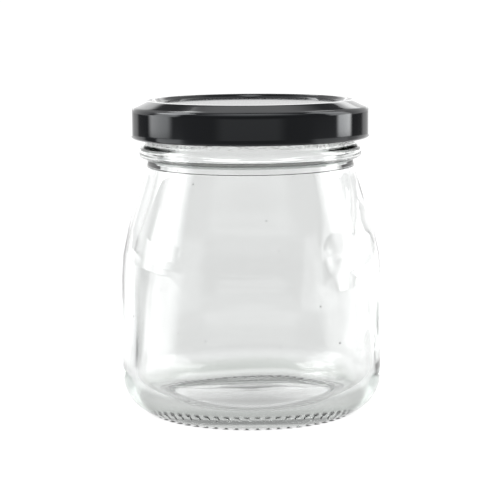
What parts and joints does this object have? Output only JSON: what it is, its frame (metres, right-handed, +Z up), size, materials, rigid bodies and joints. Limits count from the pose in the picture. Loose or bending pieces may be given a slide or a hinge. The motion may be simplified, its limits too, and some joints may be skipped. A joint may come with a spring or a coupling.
{
  "type": "glass pudding jar with twist-off lid",
  "caption": "Empty clear glass jar with a rounded heel, a sloping shoulder, a bead at the neck and a black sheet metal twist-off lid.",
  "frame": {"origin": "centre of the base, on the plane the jar stands on", "axes": "+Z up along the jar's axis, -Y towards the viewer"},
  "size_m": [0.0734, 0.0734, 0.0882],
  "materials": {
    "clear_glass": "clear, glossy, very faint green-grey tint",
    "black_enamel": "glossy black enamel on pressed sheet"
  },
  "bodies": {
    "root": {"jar_glass": "clear_glass", "lid": "black_enamel"}
  },
  "joints": []
}
